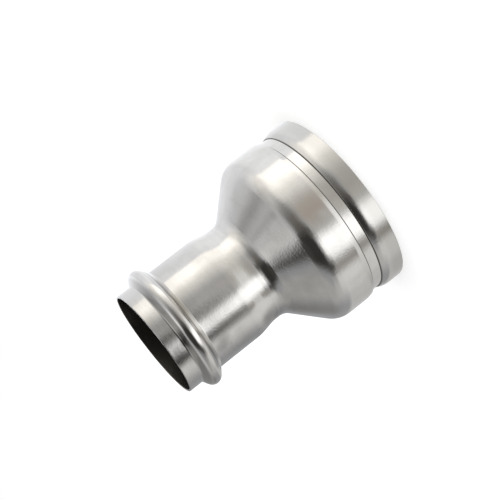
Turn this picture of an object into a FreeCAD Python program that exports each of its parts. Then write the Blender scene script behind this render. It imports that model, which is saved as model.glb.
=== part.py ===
import FreeCAD, Part
import math
import os

# Pipe reducer with a rolled groove at its large end and a press socket at its small end, in millimetres.
# It stands on the large end. The origin is the centre of that end's face, and +Z runs up the axis.
# One thin tube has a lip, a groove, a straight body, a cone, a neck, a socket and a bead near the rim.
# The bead holds a rubber ring that seals round the tube in the socket.

# The two pipes that it joins, and the tube that it is formed from
pipe_diameter = 114.3
tube_diameter = 66.7
tube_clearance = 0.2
wall = 1.2
overall_length = 142.8
edge_rounding = 0.3
tightest_inner_bend = 0.5

# Lip and rolled groove, heights counted from the large end's face
lip_diameter = 114.85
lip_width = 14.6
lip_rounding_length = 3.75
lip_rounding_drop = 1.55
lip_rounding_bend = 10.5
groove_diameter = 110.1
groove_floor_width = 7.15
groove_wall_angle = 80.5
groove_foot_bend = 0.5
groove_lip_edge_bend = 0.4
groove_body_edge_bend = 0.5
groove_shoulder_length = 2.9
groove_shoulder_drop = 0.6
groove_shoulder_bend = 6.0

# Body, cone and neck
body_length = 45.1
shoulder_bend = 14.4
cone_angle = 45.0
neck_diameter = 65.4
waist_bend = 10.1

# Press socket, depths counted from the small end's rim
socket_depth = 54.1
socket_step_angle = 11.3
socket_step_bend = 25.0
neck_bend = 20.0

# Sealing ring, and the bead that is formed to hold it
ring_section = 5.9
ring_gap = 0.3
ring_relief = 0.05
ring_side_gap = 0.35
bead_depth = 15.85
bead_rim_side_angle = 59.5
bead_rim_side_bend = 1.3
bead_socket_side_angle = 53.0
bead_socket_side_bend = 1.0

# Sizes that follow from those above
bore_radius = tube_diameter / 2 + tube_clearance
socket_radius = bore_radius + wall
ring_radius = bore_radius + ring_relief + ring_section / 2
crown_bend = ring_section / 2 + ring_side_gap + wall
crown_radius = bore_radius + ring_relief + ring_section + ring_gap + wall
bead_height = overall_length - bead_depth


def run(rise, angle):
    """Length along the axis of a side that rises by this much at this angle to the axis."""
    return rise / math.tan(math.radians(angle))


def crossing(first_point, first_way, second_point, second_way):
    """Point where two straight lines of the profile cross, each given by a point and its direction."""
    across = first_way[0] * second_way[1] - first_way[1] * second_way[0]
    apart = (second_point[0] - first_point[0], second_point[1] - first_point[1])
    along = (apart[0] * second_way[1] - apart[1] * second_way[0]) / across
    return first_point[0] + along * first_way[0], first_point[1] + along * first_way[1]


def lip_and_groove():
    """Outer corners from the large end's face to the body: radius, height and bend of each."""
    lip_radius = lip_diameter / 2
    groove_radius = groove_diameter / 2
    lip_edge = lip_radius - lip_rounding_drop
    lip_edge_height = lip_width - run(lip_edge - groove_radius, groove_wall_angle)
    body_edge = pipe_diameter / 2 - groove_shoulder_drop
    floor_end = lip_width + groove_floor_width
    body_edge_height = floor_end + run(body_edge - groove_radius, groove_wall_angle)
    return [
        (lip_radius, 0, edge_rounding),
        (lip_radius, lip_edge_height - lip_rounding_length, lip_rounding_bend),
        (lip_edge, lip_edge_height, groove_lip_edge_bend),
        (groove_radius, lip_width, groove_foot_bend),
        (groove_radius, floor_end, groove_foot_bend),
        (body_edge, body_edge_height, groove_body_edge_bend),
        (pipe_diameter / 2, body_edge_height + groove_shoulder_length, groove_shoulder_bend),
    ]


def cone_and_neck():
    """Outer corners of the shoulder, the waist, and the step from the neck up to the socket."""
    neck_radius = neck_diameter / 2
    cone_end = body_length + run(pipe_diameter / 2 - neck_radius, cone_angle)
    socket_start = overall_length - socket_depth
    neck_end = socket_start - run(socket_radius - neck_radius, socket_step_angle)
    return [
        (pipe_diameter / 2, body_length, shoulder_bend),
        (neck_radius, cone_end, waist_bend),
        (neck_radius, neck_end, neck_bend),
        (socket_radius, socket_start, socket_step_bend),
    ]


def bead_foot(angle, side):
    """Where a flank of the bead that touches the crown's arc comes down to the socket, and its direction."""
    slant = math.radians(angle)
    drop = crown_radius - crown_bend * (1 - math.cos(slant)) - socket_radius
    height = bead_height + side * (crown_bend * math.sin(slant) + run(drop, angle))
    return (socket_radius, height), (-math.sin(slant), side * math.cos(slant))


def bead_and_rim():
    """Outer corners of the bead, whose crown is one arc round the sealing ring, and of the rim."""
    lower_foot, lower_way = bead_foot(bead_socket_side_angle, -1)
    upper_foot, upper_way = bead_foot(bead_rim_side_angle, 1)
    apex = crossing(lower_foot, lower_way, upper_foot, upper_way)
    return [
        (lower_foot[0], lower_foot[1], bead_socket_side_bend),
        (apex[0], apex[1], crown_bend),
        (upper_foot[0], upper_foot[1], bead_rim_side_bend),
        (socket_radius, overall_length, edge_rounding),
    ]


def inner_corners(outer):
    """The same corners one wall further in, with bends round the same centres, or the tightest one."""
    sides = []
    for (r0, z0, _), (r1, z1, _) in zip(outer, outer[1:]):
        length = math.hypot(r1 - r0, z1 - z0)
        way = ((r1 - r0) / length, (z1 - z0) / length)
        sides.append(((r0 - wall * way[1], z0 + wall * way[0]), way))
    inner = [(outer[0][0] - wall, outer[0][1], edge_rounding)]
    for (_, _, bend), before, after in zip(outer[1:], sides, sides[1:]):
        radius, height = crossing(before[0], before[1], after[0], after[1])
        turn = before[1][0] * after[1][1] - before[1][1] * after[1][0]
        inner.append((radius, height, max(bend - math.copysign(wall, turn), tightest_inner_bend)))
    inner.append((outer[-1][0] - wall, outer[-1][1], edge_rounding))
    return inner


def rounded_wire(corners):
    """Closed wire of straight sides and tangent arcs. A bend shrinks where its side is too short for it."""
    points = [FreeCAD.Vector(radius, 0, height) for radius, height, _ in corners]
    count = len(points)
    ways = []
    reach = []
    for i, (_, _, bend) in enumerate(corners):
        back = (points[i - 1] - points[i]).normalize()
        on = (points[(i + 1) % count] - points[i]).normalize()
        ways.append((back, on, back.getAngle(on) / 2))
        reach.append(bend / math.tan(ways[i][2]))
    room = []
    for i in range(count):
        side = points[i].distanceToPoint(points[(i + 1) % count])
        room.append(min(1, side / (reach[i] + reach[(i + 1) % count])))
    edges = []
    ends = []
    for i, (back, on, half) in enumerate(ways):
        tangent = reach[i] * min(room[i - 1], room[i])
        bend = tangent * math.tan(half)
        middle = points[i] + (back + on).normalize() * (bend / math.sin(half) - bend)
        ends.append((points[i] + back * tangent, points[i] + on * tangent))
        edges.append(Part.Arc(ends[i][0], middle, ends[i][1]).toShape())
    for i in range(count):
        start, finish = ends[i - 1][1], ends[i][0]
        if start.distanceToPoint(finish) > Part.Precision.confusion():
            edges.append(Part.LineSegment(start, finish).toShape())
    return Part.Wire(Part.__sortEdges__(edges))


def reducer_body():
    """The formed tube: one wall turned about the axis."""
    outer = lip_and_groove() + cone_and_neck() + bead_and_rim()
    section = Part.Face(rounded_wire(outer + inner_corners(outer)[::-1]))
    return section.revolve(FreeCAD.Vector(0, 0, 0), FreeCAD.Vector(0, 0, 1), 360)


def sealing_ring():
    """The rubber ring inside the bead, just clear of the tube's path."""
    centre = FreeCAD.Vector(0, 0, bead_height)
    return Part.makeTorus(ring_radius, ring_section / 2, centre, FreeCAD.Vector(0, 0, 1))


os.makedirs("parts", exist_ok=True)
for name, make in (("reducer_body", reducer_body), ("sealing_ring", sealing_ring)):
    solid = make()
    print(name, "valid", solid.isValid(), "volume", round(solid.Volume, 1), solid.BoundBox)
    solid.exportStep("parts/" + name + ".step")
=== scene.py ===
import math
import bmesh
import bpy
from mathutils import Matrix, Vector

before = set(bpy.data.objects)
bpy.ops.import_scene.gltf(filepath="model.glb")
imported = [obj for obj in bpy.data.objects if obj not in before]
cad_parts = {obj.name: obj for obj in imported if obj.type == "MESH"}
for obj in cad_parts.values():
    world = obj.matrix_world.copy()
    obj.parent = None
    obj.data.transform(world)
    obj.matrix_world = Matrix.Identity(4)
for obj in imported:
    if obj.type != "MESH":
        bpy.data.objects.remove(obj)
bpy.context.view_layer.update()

# Camera: the photograph's viewpoint round the standing fitting, in metres and degrees
EYE = Vector((0.0, -0.8833, 0.2559))
AIM = Vector((0.00875, 0.0, 0.0627))
ROLL = -127.92

# Its lens and the width of its sensor, in millimetres
LENS = 109.7
SENSOR = 36.0

# Millimetres in a metre
MM = 1000.0


def linear(hex_colour, strength=1.0):
    """An sRGB hex colour as linear values with alpha, times a strength."""
    channels = [int(hex_colour[i:i + 2], 16) / 255 for i in (1, 3, 5)]
    curve = [c / 12.92 if c <= 0.04045 else ((c + 0.055) / 1.055) ** 2.4 for c in channels]
    return [c * strength for c in curve] + [1.0]


def add(tree, kind, inputs=None, **settings):
    """Adds a node with its settings. Each input is a value, or the output socket to link to it."""
    made = tree.nodes.new(kind)
    for name, value in settings.items():
        setattr(made, name, value)
    for name, value in (inputs or {}).items():
        if isinstance(value, bpy.types.NodeSocket):
            tree.links.new(value, made.inputs[name])
        else:
            made.inputs[name].default_value = value
    return made


def new_material(name):
    """An empty node material, and its tree."""
    material = bpy.data.materials.new(name)
    material.use_nodes = True
    material.node_tree.nodes.clear()
    return material, material.node_tree


def finish_material(material, tree, shader):
    """Links the surface shader to the material's output."""
    add(tree, "ShaderNodeOutputMaterial", {"Surface": shader})
    return material


def soft_band(tree, value, middle, half, softness):
    """One inside a band of this half width round the middle, falling smoothly to nought outside it.
    Angles in degrees wrap round, and lengths in millimetres are too small to."""
    offset = add(tree, "ShaderNodeMath", {0: value, 1: middle}, operation="SUBTRACT")
    wrapped = add(tree, "ShaderNodeMath", {0: offset.outputs[0], 1: 180.0, 2: -180.0}, operation="WRAP")
    distance = add(tree, "ShaderNodeMath", {0: wrapped.outputs[0]}, operation="ABSOLUTE")
    band = add(tree, "ShaderNodeMapRange", {
        "Value": distance.outputs[0], "From Min": half - softness / 2, "From Max": half + softness / 2,
        "To Min": 1.0, "To Max": 0.0}, interpolation_type="SMOOTHSTEP")
    return band.outputs["Result"]


def soft_patch(tree, across, across_band, up, up_band):
    """One where two soft bands cross. Each band is its middle, half width and softness."""
    first = soft_band(tree, across, *across_band)
    second = soft_band(tree, up, *up_band)
    return add(tree, "ShaderNodeMath", {0: first, 1: second}, operation="MULTIPLY").outputs[0]


def soft_spot(tree, place, middle, radius):
    """One at a point of the object, and nought at this distance from it, both in millimetres.
    The inner fifth is full, and the rest falls smoothly."""
    centre = [c / MM for c in middle]
    away = add(tree, "ShaderNodeVectorMath", {0: place, 1: centre}, operation="DISTANCE")
    spot = add(tree, "ShaderNodeMapRange", {
        "Value": away.outputs["Value"], "From Min": radius / 5 / MM, "From Max": radius / MM,
        "To Min": 1.0, "To Max": 0.0}, interpolation_type="SMOOTHSTEP")
    return spot.outputs["Result"]


# Patterns of the metal, as widths in millimetres. The polishing lines and the pebbles of the skin are too
# fine to show at their real size, so they are drawn as coarse as they need to be.
LINE_WIDTH = 1.6
LINE_LENGTH = 83
PEBBLE_WIDTH = 1.3
CLOUD_WIDTH = 18
RIPPLE_WIDTH = 22

# Bands round the fitting: middle of each as a height above the large end's face, half width and softness,
# in millimetres. The lip is duller. A line high on the bead's side toward the socket is painted darker, as
# painted shade. Two rings are painted brighter and glossier, as painted highlights: one low on that side,
# and one where the bead's crown ends on its other side.
LIP_BAND = (0, 9, 8)
PAINTED_SHADE_LINE = (122.8, 0.4, 0.6)
PAINTED_HIGHLIGHT_RINGS = ((120.8, 0.5, 0.8), (130.1, 0.6, 0.8))

# Painted shade in the groove's two corners, as dark lines: radius and height of each, in millimetres,
# and the half width and softness of its line
PAINTED_SHADE_CORNERS = ((55.3, 21.5), (55.05, 14.7))
CORNER_SHADE_LINE = (0.35, 0.15)

# Darker spots, each as a middle and radius in millimetres and a colour: a brownish patch on the body,
# painted shade standing for a dark reflection on the waist, darker patches on the socket and the collar,
# and painted shade in the corner at the bead's foot
SPOTS_AND_PAINTED_SHADE = (
    ((8, -56.6, 34), 12, "#C5BEB5"),
    # Painted shade: a dark reflection painted on the waist
    ((-31.2, -9.9, 81), 15, "#888785"),
    ((-23.7, -25.4, 115), 9, "#ABA9A6"),
    ((-14.5, -31.5, 139), 7, "#A3A19E"),
    # Painted shade in the corner at the bead's foot
    ((-10, -33.2, 133.8), 4, "#8A8885"),
)

# The most that the spots' edges wander, in millimetres
SPOT_WANDER = 8


def metal_patterns(tree, place):
    """Noise on the tube: polishing lines that run round the axis, and clouds of duller metal."""
    stretch = (MM / LINE_LENGTH, MM / LINE_LENGTH, MM / LINE_WIDTH)
    stretched = add(tree, "ShaderNodeMapping", {"Vector": place, "Scale": stretch}).outputs["Vector"]
    lines = add(tree, "ShaderNodeTexNoise", {"Vector": stretched, "Scale": 1.0, "Detail": 4.0})
    clouds = add(tree, "ShaderNodeTexNoise", {"Vector": place, "Scale": MM / CLOUD_WIDTH, "Detail": 4.0})
    return lines.outputs, clouds.outputs


def metal_relief(tree, place, lines):
    """The surface's normal: a slow ripple of the formed wall, the polishing lines, and the pickled skin,
    which is very slightly pebbled and catches the light in specks."""
    ripple = add(tree, "ShaderNodeTexNoise", {"Vector": place, "Scale": MM / RIPPLE_WIDTH, "Detail": 2.0})
    pebbles = add(tree, "ShaderNodeTexNoise", {"Vector": place, "Scale": MM / PEBBLE_WIDTH, "Detail": 2.0})
    wave = add(tree, "ShaderNodeBump", {
        "Height": ripple.outputs["Fac"], "Strength": 0.12, "Distance": 0.8 / MM})
    grain = add(tree, "ShaderNodeBump", {
        "Height": lines["Fac"], "Strength": 0.07, "Distance": 0.1 / MM, "Normal": wave.outputs["Normal"]})
    skin = add(tree, "ShaderNodeBump", {
        "Height": pebbles.outputs["Fac"], "Strength": 0.32, "Distance": 0.1 / MM,
        "Normal": grain.outputs["Normal"]})
    return skin.outputs["Normal"]


def places_on_tube(tree, coordinates):
    """Height and radius of a point in millimetres, and a value of one where the metal faces the axis."""
    upright = add(tree, "ShaderNodeSeparateXYZ", {"Vector": coordinates["Object"]}).outputs["Z"]
    height = add(tree, "ShaderNodeMath", {0: upright, 1: MM}, operation="MULTIPLY").outputs[0]
    outward = add(tree, "ShaderNodeVectorMath", {0: coordinates["Object"], 1: (MM, MM, 0)},
                  operation="MULTIPLY").outputs[0]
    radius = add(tree, "ShaderNodeVectorMath", {0: outward}, operation="LENGTH").outputs["Value"]
    facing = add(tree, "ShaderNodeVectorMath", {0: coordinates["Normal"], 1: outward},
                 operation="DOT_PRODUCT").outputs["Value"]
    inside = add(tree, "ShaderNodeMath", {0: facing, 1: 0.0}, operation="LESS_THAN").outputs[0]
    return height, radius, inside


def metal_marks(tree, coordinates, lines, clouds):
    """Where the metal differs from its base, and the painted shade and highlights: place, colour and
    roughness.
    Each lies over those before.
    """
    height, radius, inside = places_on_tube(tree, coordinates)
    # Clouds of a slightly duller, browner film, with a share of streaks along the polishing lines
    streaks = 0.12
    streaked = add(tree, "ShaderNodeMix", {"Factor": streaks, "A": clouds["Fac"], "B": lines["Fac"]})
    film = add(tree, "ShaderNodeMapRange", {
        "Value": streaked.outputs[0], "From Min": 0.42, "From Max": 0.66, "To Max": 0.5})
    # The clouds' colours shift each point a little, so the spots aren't round
    wavy = add(tree, "ShaderNodeMix", {
        "Factor": SPOT_WANDER / MM, 6: coordinates["Object"], 7: clouds["Color"]},
        data_type="RGBA", blend_type="LINEAR_LIGHT").outputs[2]
    marks = [(film.outputs["Result"], "#B4B1AB", 0.15)]
    marks.append((soft_band(tree, height, *LIP_BAND), "#C0BEB9", 0.13))
    # Darker spots, two of them painted shade
    marks += [(soft_spot(tree, wavy, middle, size), shade, 0.14) for middle, size, shade in SPOTS_AND_PAINTED_SHADE]
    # Painted highlights: two brighter, glossier rings on the bead
    marks += [(soft_band(tree, height, *ring), "#E8E6E2", 0.09) for ring in PAINTED_HIGHLIGHT_RINGS]
    # Painted shade: a darker line on the bead's side toward the socket
    marks.append((soft_band(tree, height, *PAINTED_SHADE_LINE), "#94918C", 0.2))
    # The inside isn't polished, so it's duller, and its colour is painted darker as shade, so the mouth
    # looks black
    marks.append((inside, "#7A766F", 0.3))
    # Painted shade: a dark line in each of the groove's corners
    for line_radius, line_height in PAINTED_SHADE_CORNERS:
        corner = soft_patch(tree, height, (line_height, *CORNER_SHADE_LINE), radius, (line_radius, *CORNER_SHADE_LINE))
        marks.append((corner, "#6E6A65", 0.5))
    return marks


def drawn_stainless():
    """Stainless tube, formed cold and polished round its axis. It looks warm grey, and its reflections
    are soft but clear."""
    material, tree = new_material("drawn_stainless_satin")
    coordinates = add(tree, "ShaderNodeTexCoord").outputs
    lines, clouds = metal_patterns(tree, coordinates["Object"])
    colour = add(tree, "ShaderNodeRGB").outputs[0]
    colour.default_value = linear("#D2D0CC")
    polish = add(tree, "ShaderNodeMapRange", {"Value": clouds["Fac"], "To Min": 0.09, "To Max": 0.15})
    roughness = polish.outputs["Result"]
    for where, shade, dullness in metal_marks(tree, coordinates, lines, clouds):
        colour = add(tree, "ShaderNodeMix", {"Factor": where, 6: colour, 7: linear(shade)},
                     data_type="RGBA").outputs[2]
        roughness = add(tree, "ShaderNodeMix", {
            "Factor": where, "A": roughness, "B": dullness}).outputs[0]
    surface = add(tree, "ShaderNodeBsdfPrincipled", {
        "Base Color": colour, "Metallic": 1.0, "Roughness": roughness,
        "Normal": metal_relief(tree, coordinates["Object"], lines)})
    return finish_material(material, tree, surface.outputs["BSDF"])


# Patterns of the rubber, in millimetres. Its moulded grain is drawn coarser than real, so that it shows
RUBBER_GRAIN = 0.6
GREASE_WIDTH = 9


def greased_rubber():
    """Moulded EPDM with a film of grease: near black, with a dull sheen."""
    material, tree = new_material("moulded_rubber_greased")
    place = add(tree, "ShaderNodeTexCoord").outputs["Object"]
    skin = add(tree, "ShaderNodeTexNoise", {"Vector": place, "Scale": MM / RUBBER_GRAIN, "Detail": 4.0})
    film = add(tree, "ShaderNodeTexNoise", {"Vector": place, "Scale": MM / GREASE_WIDTH, "Detail": 2.0})
    roughness = add(tree, "ShaderNodeMapRange", {
        "Value": film.outputs["Fac"], "To Min": 0.3, "To Max": 0.55})
    bump = add(tree, "ShaderNodeBump", {
        "Height": skin.outputs["Fac"], "Strength": 0.25, "Distance": 0.1 / MM})
    surface = add(tree, "ShaderNodeBsdfPrincipled", {
        "Base Color": linear("#1C1C1D"), "Roughness": roughness.outputs["Result"],
        "Normal": bump.outputs["Normal"]})
    return finish_material(material, tree, surface.outputs["BSDF"])


def floor_finish():
    """Matt white board. Part of its white is its own, so the fitting's shadow on it stays faint."""
    own_white = 0.38
    material, tree = new_material("matt_white_board")
    board = add(tree, "ShaderNodeBsdfDiffuse", {"Color": linear("#E6E6E6")})
    seen = add(tree, "ShaderNodeLightPath").outputs["Is Camera Ray"]
    own = add(tree, "ShaderNodeMath", {0: seen, 1: own_white}, operation="MULTIPLY")
    glow = add(tree, "ShaderNodeEmission", {"Strength": own.outputs[0]})
    both = add(tree, "ShaderNodeAddShader", {0: board.outputs[0], 1: glow.outputs[0]})
    return finish_material(material, tree, both.outputs[0])


# The studio's walls stand close round the fitting, at this distance from a point this high above the
# floor, in metres
STUDIO_RADIUS = 0.65
STUDIO_HEIGHT = 0.07

# What is on those walls, as panels with soft edges. Each later one covers those before it.
# Name: azimuth of its middle to the right of the camera, elevation, half width, half height, softness
# of its sides and of its top and bottom, in degrees, then colour and strength.
STUDIO = {
    "upper_wall_left": (-106, 38, 20, 24, 20, 16, "#FFFFFF", 0.51),
    "back_corner_left": (-156, 46, 25, 38, 30, 20, "#FFFFFF", 0.27),
    "upper_wall_right": (73, 22, 34, 30, 44, 36, "#FFFEFC", 0.73),
    "wall_foot_left": (-94, 12, 17, 8, 22, 10, "#FFFFFF", 0.6),
    "grey_wall_left": (-78, -31, 25, 36, 54, 14, "#FFFFFF", 0.84),
    "table_back_left": (-138, -20, 26, 7, 16, 8, "#FFFFFF", 0.64),
    "ceiling": (24, 76, 62, 22, 60, 26, "#FBFCFF", 0.7),
    "ceiling_light": (20, 82, 40, 10, 60, 8, "#FFFFFF", 0.88),
    "table_front": (20, -44, 60, 32, 60, 60, "#FFFDF8", 0.79),
    "table_left": (-80, -26, 27, 13, 52, 14, "#FFFFFF", 0.9),
    "window_glow": (65, -18, 26, 30, 38, 28, "#FFFDF9", 1.26),
    "main_window": (82, -20, 25, 26, 20, 26, "#FFFDFA", 1.8),
    "pale_wall_right": (134, -18, 48, 54, 6, 52, "#F8FAFF", 1.08),
    "table_right": (134, -20, 48, 11, 12, 12, "#F9FBFF", 1.24),
    "window_top_glow": (79, 14, 14, 14, 34, 30, "#FFFDFA", 1.2),
    "ceiling_shade_right": (100, 51, 14, 6, 16, 14, "#FBFCFF", 0.44),
    "ceiling_shade_front": (62, 63, 12, 3, 16, 6, "#FBFCFF", 0.5),
    "dark_corner_fade": (4, 28, 24, 20, 56, 28, "#FFF8F0", 0.19),
    "low_glow": (-26, -48, 34, 21, 34, 18, "#FDFEFF", 1.15),
    "post_foot_right": (7, -18, 9, 7, 28, 14, "#FFFAF5", 0.58),
    "low_window_fade": (-34, 2, 12, 7, 18, 12, "#FDFEFF", 0.48),
    "low_window_top": (-34, -13, 12, 11, 18, 14, "#FCFDFF", 1.56),
    "low_window": (-35, -36, 15, 24, 20, 14, "#FCFDFF", 1.75),
    "dark_corner": (-32, 33, 30, 26, 26, 12, "#FFFAF4", 0.045),
    "dark_corner_top": (-40, 57, 24, 13, 28, 8, "#FFFAF4", 0.06),
    "window_post_right": (-7, 6, 7, 10, 18, 10, "#FFFAF5", 0.13),
    "window_post_left": (-57, 3, 9, 14, 20, 26, "#FFFAF5", 0.08),
    "window_post_foot": (-62, -18, 6, 9, 16, 10, "#FFFAF5", 0.38),
}

# The walls' own colour and strength between the panels
ROOM = ("#F8FAFF", 0.42)


def plain_light():
    """The world: even white light for the floor and the rubber, and plain white behind the fitting."""
    world = bpy.data.worlds.new("plain_white")
    bpy.context.scene.world = world
    world.use_nodes = True
    tree = world.node_tree
    tree.nodes.clear()
    white = add(tree, "ShaderNodeBackground", {"Color": linear("#FFFFFF")})
    add(tree, "ShaderNodeOutputWorld", {"Surface": white.outputs[0]})
    world.cycles_visibility.glossy = False


def directions_from_middle(tree):
    """Where a point of the walls lies, in degrees: azimuth to the right of the camera, and elevation."""
    place = add(tree, "ShaderNodeTexCoord").outputs["Object"]
    way = add(tree, "ShaderNodeVectorMath", {0: place}, operation="NORMALIZE")
    axes = add(tree, "ShaderNodeSeparateXYZ", {"Vector": way.outputs[0]}).outputs
    front = add(tree, "ShaderNodeMath", {0: axes["Y"], 1: -1.0}, operation="MULTIPLY")
    turned = add(tree, "ShaderNodeMath", {0: axes["X"], 1: front.outputs[0]}, operation="ARCTAN2")
    raised = add(tree, "ShaderNodeMath", {0: axes["Z"]}, operation="ARCSINE")
    angles = [add(tree, "ShaderNodeMath", {0: a.outputs[0]}, operation="DEGREES") for a in (turned, raised)]
    return angles[0].outputs[0], angles[1].outputs[0]


def studio_finish():
    """Soft panels of light and shade, each laid over those before it."""
    material, tree = new_material("soft_studio_panels")
    azimuth, elevation = directions_from_middle(tree)
    colour = add(tree, "ShaderNodeRGB").outputs[0]
    colour.default_value = linear(*ROOM)
    for turn, rise, half_width, half_height, side, edge, shade, strength in STUDIO.values():
        cover = soft_patch(tree, azimuth, (turn, half_width, side), elevation, (rise, half_height, edge))
        colour = add(tree, "ShaderNodeMix", {"Factor": cover, 6: colour, 7: linear(shade, strength)},
                     data_type="RGBA").outputs[2]
    panels = add(tree, "ShaderNodeEmission", {"Color": colour})
    return finish_material(material, tree, panels.outputs[0])


def studio_walls():
    """The ball of soft panels round the fitting. They light the metal and show in it."""
    mesh = bpy.data.meshes.new("studio_walls")
    ball = bmesh.new()
    bmesh.ops.create_uvsphere(ball, u_segments=64, v_segments=32, radius=STUDIO_RADIUS)
    ball.to_mesh(mesh)
    ball.free()
    mesh.materials.append(studio_finish())
    walls = bpy.data.objects.new("studio_walls", mesh)
    walls.location = (0, 0, STUDIO_HEIGHT)
    bpy.context.scene.collection.objects.link(walls)
    # Only the metal's reflections see the walls: the camera and the floor's light pass through them
    walls.visible_camera = False
    walls.visible_diffuse = False
    walls.visible_transmission = False
    walls.visible_volume_scatter = False
    walls.visible_shadow = False


def make_floor():
    """A wide plain floor under the fitting. The metal mirrors the studio's walls in its place."""
    half = 4.0
    corners = [(-half, -half, 0), (half, -half, 0), (half, half, 0), (-half, half, 0)]
    mesh = bpy.data.meshes.new("floor")
    mesh.from_pydata(corners, [], [(0, 1, 2, 3)])
    floor = bpy.data.objects.new("floor", mesh)
    bpy.context.scene.collection.objects.link(floor)
    mesh.materials.append(floor_finish())
    floor.visible_glossy = False


def make_camera():
    """The photograph's camera, turned about its own axis so that the fitting lies as pictured."""
    forward = (AIM - EYE).normalized()
    level = forward.cross(Vector((0, 0, 1))).normalized()
    right = level * math.cos(math.radians(ROLL)) + level.cross(forward) * math.sin(math.radians(ROLL))
    up = right.cross(forward)
    data = bpy.data.cameras.new("camera")
    data.lens = LENS
    data.sensor_width = SENSOR
    camera = bpy.data.objects.new("camera", data)
    camera.matrix_world = Matrix.Translation(EYE) @ Matrix((right, up, -forward)).transposed().to_4x4()
    bpy.context.scene.collection.objects.link(camera)
    bpy.context.scene.camera = camera


def dress(node, material):
    """Gives a solid of the frame its finish."""
    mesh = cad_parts[node].data
    mesh.materials.clear()
    mesh.materials.append(material)


make_camera()
plain_light()
studio_walls()
make_floor()
dress("reducer_body", drawn_stainless())
dress("sealing_ring", greased_rubber())

bpy.context.scene.view_settings.view_transform = "Standard"
